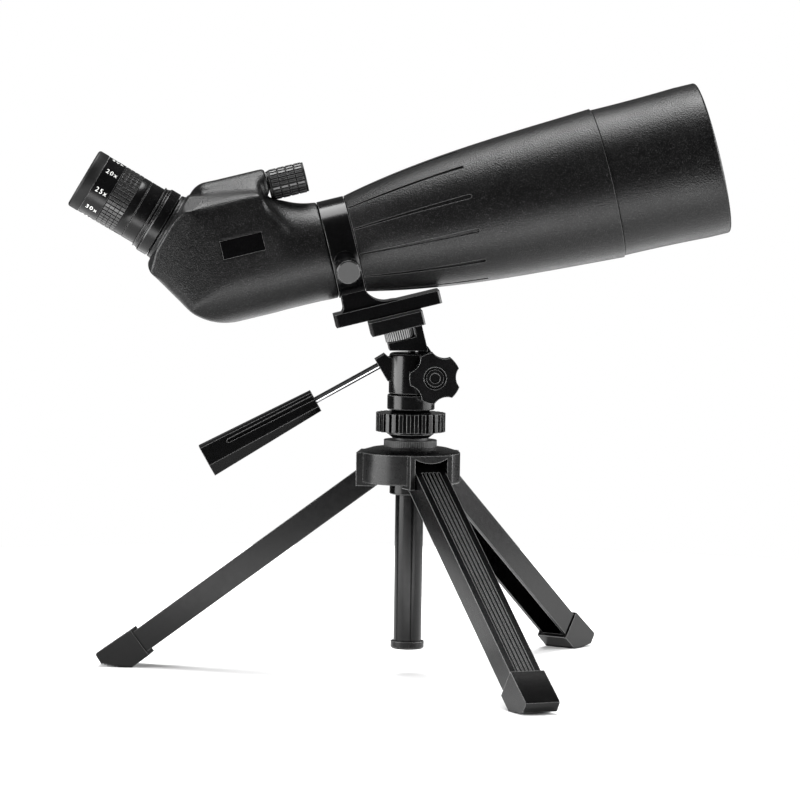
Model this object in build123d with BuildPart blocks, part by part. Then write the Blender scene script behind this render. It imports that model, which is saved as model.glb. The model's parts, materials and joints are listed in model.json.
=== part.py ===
from build123d import *
import os
from math import cos, radians, sin

# A spotting scope with a 45 degree zoom eyepiece, clamped by its tripod collar on a
# table-top tripod with a pan and tilt head. Millimetres and degrees, +Z up, +X towards
# the objective. The origin is on the table, at the centre of the whole object's plan.
os.makedirs("parts", exist_ok=True)

# ---------------------------------------------------------------- driving dimensions
COLUMN_X = 8.6  # the tripod column's axis in plan
COLUMN_Y = 13.4
SCOPE_TILT = 14.3  # nose-up angle of the line of sight, on the tilt stop
SCOPE_X = -44.7  # collar centre on the line of sight, from the column
SCOPE_Z = 264.2
EYEPIECE_ANGLE = 44.3  # eyepiece axis above the line of sight, looking back
EYEPIECE_ALONG = -63.3  # where the two axes cross

COLLAR_HALF = 8.25  # half width of the clamp band
COLLAR_R = 30.35
NECK_R = 27.0  # round neck that turns inside the collar
BARREL_FRONT = 168.4  # end of the armoured barrel, where the sunshade starts
BARREL_R = 47.0
LENS_R = 40.0  # 80 mm objective
TUBE_R = 43.9
SHADE_REAR = 168.9
SHADE_FRONT = 236.0
SHADE_R = 47.4
HOUSING_R = 29.9  # round lower half of the prism housing
KNOB_UP = 47.2  # focus knob axis above the line of sight
KNOB_R = 9.1
FOOT_BOTTOM = -47.4  # underside of the collar foot, from the line of sight
SCREW_ALONG = 22.6  # tripod screw axis
SCREW_R = 3.175  # quarter inch thread
PLATE_FROM = 5.6
PLATE_TO = 39.2
PLATE_BOTTOM = -57.6
WHEEL_R = 9.3

PIVOT_X = 13.2  # tilt hinge, from the column
PIVOT_Z = 185.6
PAN_R = 13.9
PAN_FROM = 174.3
PAN_TO = 199.5
STEM_UNDER = 201.1  # underside of the tilt stem when it rests on its stop
BASE_RING_R = 14.65
BASE_RING_FROM = 164.5
TUBE_COLUMN_R = 8.7
COLUMN_BOTTOM = 15.9
NUT_R = 21.5
HUB_FROM = 119.5
HUB_EDGE = 138.6
HUB_TOP = 141.4
HUB_R = 31.0
CLEVIS_R = 32.0
CLEVIS_FROM = 117.4  # distance of the three leg brackets' faces

LEG_AZIMUTHS = {"rear": 171.2, "right": 291.2, "left": 51.2}
LEG_SPLAY = 52.9  # from vertical
LEG_R0 = 23.74  # start of the leg's outer face, from the column
LEG_Z0 = 133.2
LEG_WIDTH = 20.5
LEG_DEPTH = 15.0
LEG_END = 195.0
LEG_WALL = 2.0
LEG_PIVOT = (3.0, 7.5)  # pin centre along the leg and below its outer face
PIN_R = 2.0
FOOT_WIDTH = 22.3
HANDLE_ANGLE = 29.6  # rod and grip below horizontal
HANDLE_TO = (-58.9, 169.2)  # front centre of the grip, from the column
GRIP_LENGTH = 76.7

# ---------------------------------------------------------------- frames
TILT_COS = cos(radians(SCOPE_TILT))
TILT_SIN = sin(radians(SCOPE_TILT))
sight = (TILT_COS, 0, TILT_SIN)
column_side = Plane(origin=(COLUMN_X, COLUMN_Y, 0), x_dir=(1, 0, 0), z_dir=(0, -1, 0))
column_up = Plane(origin=(COLUMN_X, COLUMN_Y, 0), x_dir=(0, 0, 1), z_dir=(0, 1, 0))
scope_origin = (COLUMN_X + SCOPE_X, COLUMN_Y, SCOPE_Z)
scope_side = Plane(origin=scope_origin, x_dir=sight, z_dir=(0, -1, 0))
back = radians(180 - EYEPIECE_ANGLE + SCOPE_TILT)
eyepiece_side = Plane(
    origin=scope_side.from_local_coords((EYEPIECE_ALONG, 0, 0)),
    x_dir=(cos(back), 0, sin(back)),
    z_dir=(0, -1, 0),
)
knob_side = Plane(
    origin=scope_side.from_local_coords((0, KNOB_UP, 0)), x_dir=sight, z_dir=(0, -1, 0)
)
screw_side = Plane(
    origin=scope_side.from_local_coords((SCREW_ALONG, 0, 0)),
    x_dir=(-TILT_SIN, 0, TILT_COS),
    z_dir=(0, 1, 0),
)
down = radians(180 + HANDLE_ANGLE)
handle_side = Plane(
    origin=column_side.from_local_coords((HANDLE_TO[0], HANDLE_TO[1], 0)),
    x_dir=(cos(down), 0, sin(down)),
    z_dir=(0, 1, 0),
)


def across(along, up=0.0):
    """The plane square to the line of sight: x is +Y and y is up."""
    corner = scope_side.from_local_coords((along, up, 0))
    return Plane(origin=corner, x_dir=(0, 1, 0), z_dir=sight)


def plate_plane(along, up):
    """The plane parallel to the line of sight and square to the tripod screw."""
    corner = scope_side.from_local_coords((along, up, 0))
    return Plane(origin=corner, x_dir=sight, z_dir=(-TILT_SIN, 0, TILT_COS))


def leg_plane(azimuth):
    """x runs down the leg, y from its outer face inwards and z across the leg."""
    out = Vector(cos(radians(azimuth)), sin(radians(azimuth)), 0)
    side = Vector(-sin(radians(azimuth)), cos(radians(azimuth)), 0)
    start = Vector(COLUMN_X, COLUMN_Y, LEG_Z0) + out * LEG_R0
    run = out * sin(radians(LEG_SPLAY)) - Vector(0, 0, cos(radians(LEG_SPLAY)))
    return Plane(origin=start, x_dir=run, z_dir=side)


def turned(plane, outline):
    """A solid of revolution about the plane's x axis, from (distance, radius) points."""
    with BuildPart() as piece:
        with BuildSketch(plane):
            with BuildLine():
                Polyline(outline, close=True)
            make_face()
        revolve(axis=Axis(plane.origin, plane.x_dir))
    return piece


def tube(plane, start, end, inner, outer):
    """A plain sleeve about the plane's x axis."""
    return turned(plane, [(start, inner), (start, outer), (end, outer), (end, inner)])


def finish(piece, name):
    """Labels a finished piece and writes it."""
    piece.part.label = name
    export_step(piece.part, f"parts/{name}.step")


# ---------------------------------------------------------------- barrel and sunshade
BARREL_POINTS = [(8.9, 30.2), (50, 37.7), (100, 42.9), (BARREL_FRONT, BARREL_R)]
BARREL_BORE = [(8.9, 27.6), (50, 35.1), (100, 40.3), (134, 42.6)]


def barrel_cutter():
    """Twelve tapering grooves, each from a hair line at the collar to a round end."""
    with BuildPart() as skin:
        with BuildSketch(scope_side):
            with BuildLine():
                floor = Spline((9.2, 29.9), (30, 33.7), (55, 37.7), (86, 40.6))
                Polyline(floor @ 1, (86, 60), (9.2, 60), floor @ 0)
            make_face()
        revolve(axis=Axis(scope_side.origin, scope_side.x_dir))
    with BuildPart() as cutter:
        for k in range(12):
            turn = radians(19.5 + 30 * k)
            out = Vector(-TILT_SIN, 0, TILT_COS) * cos(turn) + Vector(0, 1, 0) * sin(turn)
            with BuildSketch(Plane(origin=scope_origin, x_dir=sight, z_dir=out).offset(25)):
                with Locations((9.9, 0)):
                    Circle(0.45)
                with Locations((82.2, 0)):
                    Circle(1.3)
                make_hull()
            extrude(amount=30)
        add(skin.part, mode=Mode.INTERSECT)
    return cutter


with BuildPart() as front_barrel:
    with BuildSketch(scope_side):
        with BuildLine():
            outer = Spline(BARREL_POINTS)
            inner = Spline(BARREL_BORE)
            Polyline(inner @ 1, (136, TUBE_R + 0.05), (BARREL_FRONT, TUBE_R + 0.05), outer @ 1)
            Line(inner @ 0, outer @ 0)
        make_face()
    revolve(axis=Axis(scope_side.origin, scope_side.x_dir))
    add(barrel_cutter().part, mode=Mode.SUBTRACT)
    for along, outer_r, hole_r in [(60, 37.2, 27), (98, 40.9, 31)]:
        add(tube(scope_side, along, along + 2, hole_r, outer_r).part)
finish(front_barrel, "front_barrel")

neck_tube = turned(
    scope_side,
    [(-16, 24.2), (-16, NECK_R), (9.0, NECK_R), (9.0, 27.55), (13, 28.1), (25, 30.3), (26, 30.3), (26, 24.2)],
)
finish(neck_tube, "neck_tube")

objective_tube = tube(scope_side, 137, 214, TUBE_R - 1.6, TUBE_R)
finish(objective_tube, "objective_tube")

with BuildPart() as sunshade:
    with BuildSketch(scope_side):
        with BuildLine():
            wall = ThreePointArc((SHADE_REAR, 46.0), (196, 46.4), (222.2, SHADE_R))
            land = Line(wall @ 1, (234.2, SHADE_R))
            lip = ThreePointArc(land @ 1, (235.473, 46.873), (SHADE_FRONT, 45.6))
            Polyline(lip @ 1, (235.4, 45.0), (176, 44.9), (176, 45.3), (SHADE_REAR, 45.3), wall @ 0)
        make_face()
    revolve(axis=Axis(scope_side.origin, scope_side.x_dir))
finish(sunshade, "sunshade")

shade_felt = tube(scope_side, 169.3, 175.8, TUBE_R + 0.08, 45.25)
finish(shade_felt, "sunshade_felt_ring")

# ---------------------------------------------------------------- objective
objective_cell = turned(
    scope_side,
    [(184, 38.8), (184, 42.25), (201.4, 42.25), (201.4, LENS_R + 0.2), (186, LENS_R + 0.2), (186, 38.8)],
)
finish(objective_cell, "objective_cell")


def lens(plane, back_rim, back_pole, front_pole, front_rim, radius):
    """A lens from the places of its two rims and two poles on the plane's x axis."""
    with BuildPart() as glass:
        with BuildSketch(plane):
            with BuildLine():
                rear = dish(back_pole, back_rim, radius)
                front = dish(front_pole, front_rim, radius)
                Line(rear @ 1, front @ 1)
                Line(rear @ 0, front @ 0)
            make_face()
        revolve(axis=Axis(plane.origin, plane.x_dir))
    return glass


def dish(pole, rim, radius):
    """Half of a spherical face's section, from the axis to the rim."""
    sag = pole - rim
    if abs(sag) < 0.05:
        return Line((pole, 0), (rim, radius))
    ball = (radius**2 + sag**2) / (2 * abs(sag))
    centre = pole - ball * sag / abs(sag)
    half = radius / 2
    middle = centre + (sag / abs(sag)) * (ball**2 - half**2) ** 0.5
    return ThreePointArc((pole, 0), (middle, half), (rim, radius))


flint_lens = lens(scope_side, 186.1, 187.2, 188.9, 191.4, LENS_R)
finish(flint_lens, "flint_lens")
crown_lens = lens(scope_side, 191.6, 189.1, 199.2, 195.6, LENS_R)
finish(crown_lens, "crown_lens")
lens_retainer = tube(scope_side, 197.2, 200.8, 38.6, LENS_R + 0.15)
finish(lens_retainer, "objective_retaining_ring")

# ---------------------------------------------------------------- prism housing
BOSS_FACE = 51.8
ROOF_REAR = 52.5
ROOF_FRONT = 46.2
BOX_FRONT = -19.0


def housing_shape(grow):
    """The housing's box; a negative grow gives the hollow inside it."""
    half = HOUSING_R + grow
    with BuildPart() as shape:
        with BuildSketch(scope_side):
            with BuildLine():
                under = Line((BOX_FRONT + grow, -half), (-66, -half))
                heel = ThreePointArc(under @ 1, (-86.5, -26.2 - grow), (-99.5 - 0.6 * grow, -16 - 0.8 * grow))
                rise = Line(heel @ 1, (-117.0 - grow, 12.2 - 0.3 * grow))
                bump = ThreePointArc(rise @ 1, (-118.0 - grow, 17.0), (-115.4 - grow, 21.6 + 0.5 * grow))
                Polyline(
                    bump @ 1,
                    (-84.2 - grow, ROOF_REAR + 0.3 + grow),
                    (-41.5 + grow, ROOF_FRONT + grow),
                    (-39.7 + grow, 40.5),
                    (-36.9 + grow, 33.6),
                    (-29.9 + grow, 23),
                    (BOX_FRONT + grow, 12),
                    under @ 0,
                )
            make_face()
        extrude(amount=32, both=True)
        with BuildSketch(across(-130)):
            with BuildLine():
                ThreePointArc((-half, 0), (0, -half), (half, 0))
                Polyline(
                    (half, 0), (half, 20), (28.6 + grow, 44 + grow), (11, 53.2 + grow),
                    (-11, 53.2 + grow), (-28.6 - grow, 44 + grow), (-half, 20), (-half, 0),
                )
            make_face()
        extrude(amount=100, mode=Mode.INTERSECT)
    return shape


boss_cone = turned(
    eyepiece_side,
    [(-80, 0), (-80, 95), (40, 60), (46, 40), (49.6, 30.5), (BOSS_FACE, 26.6), (BOSS_FACE, 0)],
)
cavity_cone = turned(
    eyepiece_side,
    [(-80, 0), (-80, 90), (0, 88), (40, 30.4), (45.5, 25.5), (48, 20.5), (48, 0)],
)
boss_rim = tube(eyepiece_side, 46, 54.9, 18.3, 21.4)


def rounded_plan(grow):
    """The housing seen from above: straight sides that round off towards the rear."""
    half = HOUSING_R + grow
    with BuildPart() as plan:
        with BuildSketch(plate_plane(-64, -60)):
            Ellipse(72 + grow, half)
            with Locations((40, 0)):
                Rectangle(80, 2 * half)
        extrude(amount=130)
    return plan


with BuildPart() as housing_block:
    add(housing_shape(0).part)
    add(boss_cone.part, mode=Mode.INTERSECT)
    add(rounded_plan(0).part, mode=Mode.INTERSECT)

with BuildPart() as housing_neck:
    for along, top in [(-42, 44.5), (-36, 41.5), (-27, 36.0), (-17.6, 32.0), (-8.6, 30.3)]:
        with BuildSketch(across(along)):
            with BuildLine():
                CenterArc((0, 0), HOUSING_R, 180, 180)
                EllipticalCenterArc((0, 0), HOUSING_R, top, start_angle=0, arc_size=180)
            make_face()
    loft()

with BuildPart() as housing_cavity:
    add(housing_shape(-3.2).part)
    add(cavity_cone.part, mode=Mode.INTERSECT)
    add(rounded_plan(-3.2).part, mode=Mode.INTERSECT)

with BuildPart() as prism_housing:
    add(housing_block.part)
    add(housing_neck.part)
    add(boss_rim.part)
    add(housing_cavity.part, mode=Mode.SUBTRACT)
    add(tube(scope_side, -40, -15.95, 0, NECK_R + 0.05).part, mode=Mode.SUBTRACT)
    add(tube(scope_side, -17, -8, 0, NECK_R + 0.05).part, mode=Mode.SUBTRACT)
    add(tube(eyepiece_side, 30, 56, 0, 18.3).part, mode=Mode.SUBTRACT)
    add(tube(knob_side, -80, -33, 0, 6.9).part, mode=Mode.SUBTRACT)
    add(tube(knob_side, -35.1, -5, 0, KNOB_R + 0.5).part, mode=Mode.SUBTRACT)
    with BuildSketch(scope_side.offset(29.2)):
        with Locations((-58.9, 16.4)):
            Rectangle(26.6, 11.8)
    extrude(amount=3, mode=Mode.SUBTRACT)
    with BuildSketch(across(-63, 38)):
        Rectangle(8, 14)
    extrude(amount=29, mode=Mode.SUBTRACT)
finish(prism_housing, "prism_housing")

with BuildPart() as badge_plate:
    with BuildSketch(scope_side.offset(29.25)):
        with Locations((-58.9, 16.4)):
            Rectangle(26.3, 11.5)
    extrude(amount=0.75)
finish(badge_plate, "badge_plate")

with BuildPart() as focus_bridge:
    with BuildSketch(knob_side):
        with BuildLine():
            crown = Line((-34.8, 11.1), (-73.5, 11.1))
            slope = ThreePointArc(crown @ 1, (-79.5, 9.0), (-84.5, 3.2))
            Polyline(slope @ 1, (-84.5, 0), (-34.8, 0), crown @ 0)
        make_face()
    revolve(axis=Axis(knob_side.origin, knob_side.x_dir))
    with BuildSketch(across(-40)):
        with BuildLine():
            Polyline([(-23, 43), (23, 43), (10.5, 53.5), (-10.5, 53.5)], close=True)
        make_face()
    with BuildSketch(across(-76)):
        with BuildLine():
            Polyline([(-15.0, 49), (15.0, 49), (9.0, 53.6), (-9.0, 53.6)], close=True)
        make_face()
    loft()
    add(housing_block.part, mode=Mode.SUBTRACT)
    add(housing_neck.part, mode=Mode.SUBTRACT)
    with BuildSketch(scope_side):
        with Locations((-60, 18)):
            Rectangle(80, 49)
    extrude(amount=20, both=True, mode=Mode.SUBTRACT)
    add(tube(knob_side, -76, -38, 0, 6.9).part, mode=Mode.SUBTRACT)
    add(tube(knob_side, -40, -30, 0, 3.05).part, mode=Mode.SUBTRACT)
finish(focus_bridge, "focus_bridge")

# ---------------------------------------------------------------- focus drive
focus_screw = turned(
    knob_side, [(-74, 0), (-74, 2.5), (-38.5, 2.5), (-38.5, 2.98), (-13, 2.98), (-13, 0)]
)
finish(focus_screw, "focus_screw")
focus_hub = turned(
    knob_side,
    [(-34.6, 3.0), (-34.6, 8.7), (-33.7, 8.7), (-33.7, 7.9), (-11.6, 7.9), (-11.6, 1), (-12.9, 1), (-12.9, 3.0)],
)
finish(focus_hub, "focus_knob_core")

with BuildPart() as focus_grip:
    add(tube(knob_side, -33.6, -11.0, 7.95, KNOB_R).part)
    for k in range(24):
        turn = radians(15 * k)
        out = Vector(-TILT_SIN, 0, TILT_COS) * cos(turn) + Vector(0, 1, 0) * sin(turn)
        rib_plane = Plane(origin=knob_side.origin, x_dir=sight, z_dir=out).offset(KNOB_R - 0.45)
        with BuildSketch(rib_plane):
            with Locations((-22.3, 0)):
                Rectangle(18.5, 0.7)
        extrude(amount=2, mode=Mode.SUBTRACT)
finish(focus_grip, "focus_knob_grip")

with BuildPart() as focus_carriage:
    add(tube(knob_side, -58, -50, 2.55, 5.6).part)
    with BuildSketch(across(-56, 0)):
        with Locations((0, 31.5)):
            Rectangle(6, 24)
    extrude(amount=4)
    add(tube(scope_side, -56, -46, 18.6, 21).part)
    with BuildSketch(across(-56, 0)):
        Circle(18.5)
    extrude(amount=12, mode=Mode.SUBTRACT)
finish(focus_carriage, "focus_carriage")
focus_lens = lens(scope_side, -53.4, -51.6, -50.2, -48.4, 18.4)
finish(focus_lens, "focusing_lens")

# ---------------------------------------------------------------- prism
PRISM_HALF = 16.0
PRISM_SIDE = [(-66, -17), (-66, 17), (-76, 27), (-99, 5.5), (-84, -17)]
with BuildPart() as prism:
    with BuildSketch(scope_side):
        with BuildLine():
            Polyline(PRISM_SIDE, close=True)
        make_face()
    extrude(amount=PRISM_HALF, both=True)
    chamfer(prism.edges().filter_by(Axis.Y), length=0.8)
finish(prism, "erecting_prism")

with BuildPart() as prism_cage:
    for side in (-1, 1):
        with BuildSketch(scope_side.offset(side * (PRISM_HALF + 1.2))):
            with BuildLine():
                Polyline(
                    [(-63.5, -19), (-63.5, 20), (-76, 30), (-102, 6), (-87, -19)], close=True
                )
            make_face()
        extrude(amount=1.1, both=True)
    with BuildSketch(scope_side):
        with Locations((-64.9, -18), (-64.9, 18.6), (-85.6, -18), (-100.2, 6)):
            Circle(0.9)
    extrude(amount=PRISM_HALF + 1.2, both=True)
finish(prism_cage, "prism_cage")

# ---------------------------------------------------------------- eyepiece
lock_ring = turned(
    eyepiece_side,
    [(55.4, 18.3), (55.4, 20.9), (55.9, 21.4), (61.9, 21.4), (62.6, 20.8), (62.6, 18.3)],
)
finish(lock_ring, "eyepiece_lock_ring")
seal_ring = turned(
    eyepiece_side,
    [(62.7, 16), (62.7, 20.4), (63.5, 20.4), (63.7, 20.0), (65.0, 20.0), (65.2, 20.4), (65.9, 20.4), (65.9, 16)],
)
finish(seal_ring, "eyepiece_seal_ring")

with BuildPart() as eyepiece_barrel:
    add(
        turned(
            eyepiece_side,
            [(40, 15.1), (40, 18.2), (62.7, 18.2), (62.7, 15.9), (66, 15.9), (66, 19.1), (74.45, 19.1),
             (74.45, 16.6), (104.4, 16.6), (104.4, 15.1), (64.2, 15.1), (63.6, 9), (63, 9), (63, 15.1)],
        ).part
    )
    with BuildSketch(eyepiece_side):
        with Locations((96, 16)):
            Rectangle(4.4, 6)
    revolve(
        axis=Axis(eyepiece_side.origin, eyepiece_side.x_dir),
        revolution_arc=130,
        mode=Mode.SUBTRACT,
    )
finish(eyepiece_barrel, "eyepiece_barrel")

ZOOM_FROM = 74.6
ZOOM_TO = 105.0
with BuildPart() as zoom_ring:
    add(
        turned(
            eyepiece_side,
            [(ZOOM_FROM, 16.9), (ZOOM_FROM, 18.8), (ZOOM_FROM + 0.4, 19.1), (79.6, 19.1), (80.1, 18.8),
             (92.8, 18.8), (93.2, 19.25), (ZOOM_TO, 19.25), (ZOOM_TO, 16.9)],
        ).part
    )
finish(zoom_ring, "zoom_ring")
PIN_TURN = 15  # the drive pin's place in its 130 degree slot at the lowest power
eye_axis = Vector(cos(back), 0, sin(back))
slot_start = eyepiece_side.y_dir
pin_out = slot_start * cos(radians(PIN_TURN)) + eye_axis.cross(slot_start) * sin(radians(PIN_TURN))
pin_base = eyepiece_side.from_local_coords((96, 0, 0))
with BuildPart() as zoom_cam:
    add(tube(eyepiece_side, 67, 100, 13.5, 14.8).part)
    with BuildSketch(Plane(origin=pin_base, x_dir=eye_axis, z_dir=pin_out).offset(14.2)):
        Circle(1.6)
    extrude(amount=2.65)
finish(zoom_cam, "zoom_cam_tube")
zoom_front = lens(eyepiece_side, 69.5, 68.5, 72.5, 71.5, 13.4)
finish(zoom_front, "zoom_front_lens")
zoom_rear = lens(eyepiece_side, 91.5, 90.5, 94.5, 93.5, 13.4)
finish(zoom_rear, "zoom_rear_lens")

eye_cell = turned(
    eyepiece_side,
    [(101, 11.6), (101, 13.3), (104.5, 13.3), (104.5, 14.4), (109.2, 14.4), (109.2, 10.6),
     (108.6, 10.6), (108.6, 11.6)],
)
finish(eye_cell, "eye_lens_cell")
eye_lens = lens(eyepiece_side, 103.0, 102.0, 107.6, 106.4, 11.5)
finish(eye_lens, "eye_lens")
eyecup_sleeve = tube(eyepiece_side, 105.15, 110.6, 14.75, 16.2)
finish(eyecup_sleeve, "eyecup_sleeve")

with BuildPart() as eyecup:
    with BuildSketch(eyepiece_side):
        with BuildLine():
            rim = ThreePointArc((110.9, 19.45), (112.0, 18.9), (112.5, 17.6))
            Polyline(
                rim @ 1, (112.3, 16.6), (111.0, 16.5), (105.15, 16.5), (105.15, 19.2), (105.65, 19.45), rim @ 0
            )
        make_face()
    revolve(axis=Axis(eyepiece_side.origin, eyepiece_side.x_dir))
finish(eyecup, "eyecup")

# ---------------------------------------------------------------- tripod collar
CLAMP_ANGLE = radians(15.2)  # clamp knob below horizontal
clamp_dir = Vector(
    sin(CLAMP_ANGLE) * TILT_SIN, -cos(CLAMP_ANGLE), -sin(CLAMP_ANGLE) * TILT_COS
)
clamp_side = Plane(
    origin=scope_side.from_local_coords((-0.4, 0, 0)), x_dir=clamp_dir, z_dir=sight
)
FOOT_TOP = -39.3
with BuildPart() as collar_ring:
    add(tube(scope_side, -COLLAR_HALF, COLLAR_HALF, 28.05, COLLAR_R).part)
    with BuildSketch(scope_side):
        with BuildLine():
            rear = ThreePointArc((-7.4, -36.0), (-8.4, -38.4), (-10.8, FOOT_TOP - 1))
            front = ThreePointArc((COLLAR_HALF, -28.6), (12.2, -35.0), (22.5, -38.6))
            Polyline(front @ 1, (34, FOOT_TOP - 1), rear @ 1)
            Polyline(rear @ 0, (-7.0, -26), (COLLAR_HALF, -26), front @ 0)
        make_face()
    extrude(amount=10.5, both=True)
    with BuildSketch(plate_plane(18.95, FOOT_BOTTOM)):
        RectangleRounded(66.7, 28, 2.5)
    extrude(amount=FOOT_TOP - FOOT_BOTTOM)
    add(turned(clamp_side, [(26, 0), (26, 6.8), (43.8, 6.8), (43.8, 0)]).part)
    add(tube(scope_side, -12, 12, 0, 28.05).part, mode=Mode.SUBTRACT)
    add(tube(clamp_side, 20, 50, 0, 2.55).part, mode=Mode.SUBTRACT)
    add(tube(screw_side, FOOT_BOTTOM - 1, -41.0, 0, SCREW_R + 0.03).part, mode=Mode.SUBTRACT)
finish(collar_ring, "collar_ring")
collar_lining = tube(scope_side, -7.8, 7.8, NECK_R + 0.08, 28.0)
finish(collar_lining, "collar_lining")
clamp_knob = turned(
    clamp_side,
    [(28.4, 0), (28.4, 2.5), (44.2, 2.5), (44.2, 6.9), (44.8, 7.4), (51.0, 7.4), (51.8, 6.7), (51.8, 0)],
)
finish(clamp_knob, "collar_clamp_knob")

# ---------------------------------------------------------------- platform and tilt stem
PLATE_TOP = -48.9
PLATE_MIDDLE = (PLATE_FROM + PLATE_TO) / 2
with BuildPart() as platform:
    with BuildSketch(plate_plane(PLATE_MIDDLE, PLATE_BOTTOM)):
        RectangleRounded(PLATE_TO - PLATE_FROM, 34, 2)
    extrude(amount=PLATE_TOP - PLATE_BOTTOM)
    add(tube(screw_side, PLATE_BOTTOM - 1, PLATE_TOP + 1, 0, 3.5).part, mode=Mode.SUBTRACT)
finish(platform, "platform")
with BuildPart() as platform_pad:
    with BuildSketch(plate_plane(PLATE_MIDDLE, PLATE_TOP)):
        RectangleRounded(PLATE_TO - PLATE_FROM - 1.2, 32.8, 1.6)
    extrude(amount=FOOT_BOTTOM - PLATE_TOP)
    add(tube(screw_side, -60, -40, 0, 3.5).part, mode=Mode.SUBTRACT)
finish(platform_pad, "platform_pad")

WHEEL_TOP = -58.1
WHEEL_BOTTOM = -63.8
tripod_screw = tube(screw_side, WHEEL_TOP + 0.02, -42.0, 0, SCREW_R)
finish(tripod_screw, "quarter_inch_screw")


def knurled_disc(plane, radius, thickness, count, notch, bore):
    """A disc that grows along the plane's normal, with round notches about its edge."""
    with BuildPart() as disc:
        with BuildSketch(plane):
            Circle(radius)
            with PolarLocations(radius + notch * 0.35, count):
                Circle(notch, mode=Mode.SUBTRACT)
            if bore:
                Circle(bore, mode=Mode.SUBTRACT)
        extrude(amount=thickness)
    return disc


wheel_plane = Plane(
    origin=screw_side.from_local_coords((WHEEL_BOTTOM, 0, 0)),
    x_dir=(0, 1, 0),
    z_dir=(-TILT_SIN, 0, TILT_COS),
)
thumbwheel = knurled_disc(wheel_plane, WHEEL_R, WHEEL_TOP - WHEEL_BOTTOM, 40, 0.42, 0)
finish(thumbwheel, "screw_thumbwheel")

STEM_WIDTH = 8.5
with BuildPart() as tilt_stem:
    with BuildSketch(scope_side):
        with BuildLine():
            Polyline(
                [(32.3, PLATE_BOTTOM), (37.1, PLATE_BOTTOM), (37.1, -78), (14.2, -78), (14.2, -64.2), (32.3, -64.2)],
                close=True,
            )
        make_face()
    extrude(amount=STEM_WIDTH, both=True)
    split(bisect_by=Plane(origin=(0, 0, STEM_UNDER)), keep=Keep.TOP)
    with BuildSketch(column_side):
        with BuildLine():
            Polyline(
                [(3.9, 203.4), (9.9, 203.4), (19.6, PIVOT_Z + 3.6), (6.1, PIVOT_Z - 1.5), (3.9, PIVOT_Z + 6)],
                close=True,
            )
        make_face()
        with Locations((PIVOT_X, PIVOT_Z)):
            Circle(7.3)
            Circle(3.1, mode=Mode.SUBTRACT)
    extrude(amount=4.9, both=True)
finish(tilt_stem, "tilt_stem")

# ---------------------------------------------------------------- pan head
pan_base = turned(
    column_up,
    [(168, 0), (168, 8.75), (BASE_RING_FROM, 8.75), (BASE_RING_FROM, 14.2), (165.0, BASE_RING_R),
     (173.2, BASE_RING_R), (173.7, 14.2), (173.7, 5.0), (182, 5.0), (182, 0)],
)
finish(pan_base, "pan_base")

with BuildPart() as pan_body:
    with BuildSketch(column_up):
        with BuildLine():
            Polyline(
                [(PAN_FROM, 0), (PAN_FROM, 13.5), (PAN_FROM + 0.4, PAN_R), (PAN_TO - 1.8, PAN_R),
                 (PAN_TO - 0.5, 13.3), (PAN_TO, 12.2), (PAN_TO, 0)],
                close=True,
            )
        make_face()
    revolve(axis=Axis(column_up.origin, column_up.x_dir))
    with BuildSketch(column_side):
        with Locations((PIVOT_X, PIVOT_Z)):
            Circle(7.6)
        with Locations((PIVOT_X - 4, PIVOT_Z)):
            Rectangle(8, 15.2)
    extrude(amount=12.5, both=True)
    with BuildSketch(column_side):
        with Locations((3.6 + 15, 190.5)):
            Rectangle(30, 28)
    extrude(amount=5.2, both=True, mode=Mode.SUBTRACT)
    with BuildSketch(column_side):
        with Locations((PIVOT_X, PIVOT_Z)):
            Circle(3.05)
    extrude(amount=20, both=True, mode=Mode.SUBTRACT)
    add(tube(column_up, PAN_FROM - 1, 182.4, 0, 5.05).part, mode=Mode.SUBTRACT)
    add(tube(handle_side, -55.9, -30, 0, 2.26).part, mode=Mode.SUBTRACT)
    add(tube(column_up, PAN_TO - 0.5, STEM_UNDER - 0.05, 0, 2.2).part)
finish(pan_body, "pan_body")

with BuildPart() as handle_bracket:
    with BuildSketch(column_side):
        with BuildLine():
            Polyline(
                [(-10, 182.0), (-14.9, 182.0), (-22.9, 195.3), (-17.0, 199.0), (-14.6, 196.9), (-10, 196.9)],
                close=True,
            )
        make_face()
    extrude(amount=6, both=True)
    add(tube(column_up, 170, 205, 0, PAN_R + 0.02).part, mode=Mode.SUBTRACT)
    add(tube(handle_side, -70, -30, 0, 2.26).part, mode=Mode.SUBTRACT)
finish(handle_bracket, "handle_bracket")

handle_rod = tube(handle_side, -55.6, 20, 0, 2.2)
finish(handle_rod, "handle_rod")


with BuildPart() as handle_grip:
    for distance, height, half_width, ridge in [(0, 14.2, 6.2, 3.6), (GRIP_LENGTH, 20.7, 9.0, 2.8)]:
        half = height / 2
        place = handle_side.from_local_coords((distance, 0, 0))
        with BuildSketch(Plane(origin=place, x_dir=(0, 1, 0), z_dir=handle_side.x_dir)):
            with BuildLine():
                Polyline(
                    [(-0.6 * half_width, -half), (0.6 * half_width, -half), (half_width, 1 - half),
                     (half_width, ridge), (0.45 * half_width, half), (-0.45 * half_width, half),
                     (-half_width, ridge), (-half_width, 1 - half)],
                    close=True,
                )
            make_face()
    loft(ruled=True)
    for side in (-1, 1):
        with BuildSketch(handle_side.offset(side * 10)):
            with BuildLine():
                Polyline([(-1, 1.4), (58.7, 3.9), (60.2, 4.9), (58.7, 5.9), (-1, 4.0)], close=True)
            make_face()
        extrude(amount=-side * 4.6, mode=Mode.SUBTRACT)
    add(tube(handle_side, -1, 20.2, 0, 2.25).part, mode=Mode.SUBTRACT)
finish(handle_grip, "handle_grip")

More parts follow.
